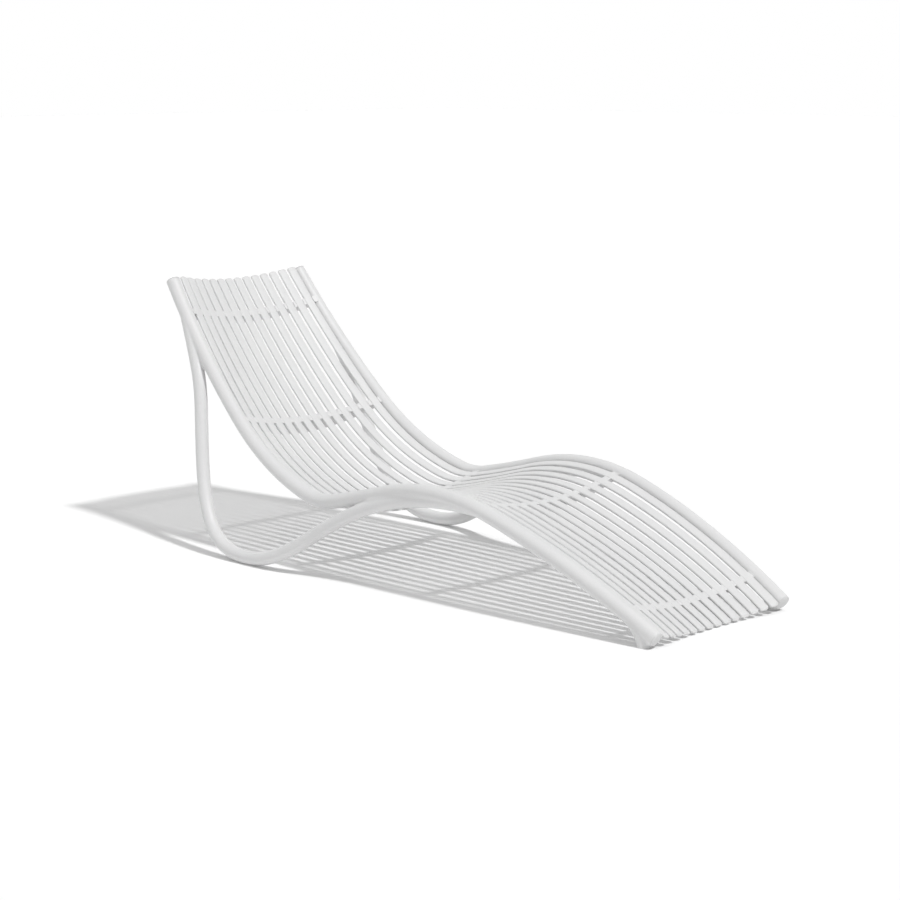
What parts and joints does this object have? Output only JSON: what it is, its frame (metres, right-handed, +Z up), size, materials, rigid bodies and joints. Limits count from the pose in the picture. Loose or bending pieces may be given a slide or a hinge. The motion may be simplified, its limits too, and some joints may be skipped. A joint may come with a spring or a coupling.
{
  "type": "sun lounger",
  "caption": "Fixed sun lounger with a wave-shaped bed of long flat slats between two bent tube rails, standing on bent leg loops at the back and short feet at the front.",
  "frame": {"origin": "on the floor, under the middle of the object's bounding box", "axes": "+X towards the foot end, +Y towards the lying person's left, +Z up"},
  "size_m": [1.8601, 0.774, 0.7515],
  "materials": {
    "white_powder_coat": "satin powder coat",
    "white_plastic": "fine moulded"
  },
  "bodies": {
    "root": {"side_rail_right": "white_powder_coat", "side_rail_left": "white_powder_coat", "leg_loop_right": "white_powder_coat", "leg_loop_left": "white_powder_coat", "front_foot_right": "white_powder_coat", "front_foot_left": "white_powder_coat", "slat_01": "white_powder_coat", "slat_02": "white_powder_coat", "slat_03": "white_powder_coat", "slat_04": "white_powder_coat", "slat_05": "white_powder_coat", "slat_06": "white_powder_coat", "slat_07": "white_powder_coat", "slat_08": "white_powder_coat", "slat_09": "white_powder_coat", "slat_10": "white_powder_coat", "slat_11": "white_powder_coat", "slat_12": "white_powder_coat", "slat_13": "white_powder_coat", "slat_14": "white_powder_coat", "head_bar": "white_powder_coat", "back_bar": "white_powder_coat", "seat_bar": "white_powder_coat", "knee_bar": "white_powder_coat", "foot_bar": "white_powder_coat", "rail_head_caps": "white_plastic", "rail_foot_caps": "white_plastic", "slat_head_caps": "white_plastic", "slat_foot_caps": "white_plastic", "front_foot_plugs": "white_plastic"}
  },
  "joints": []
}
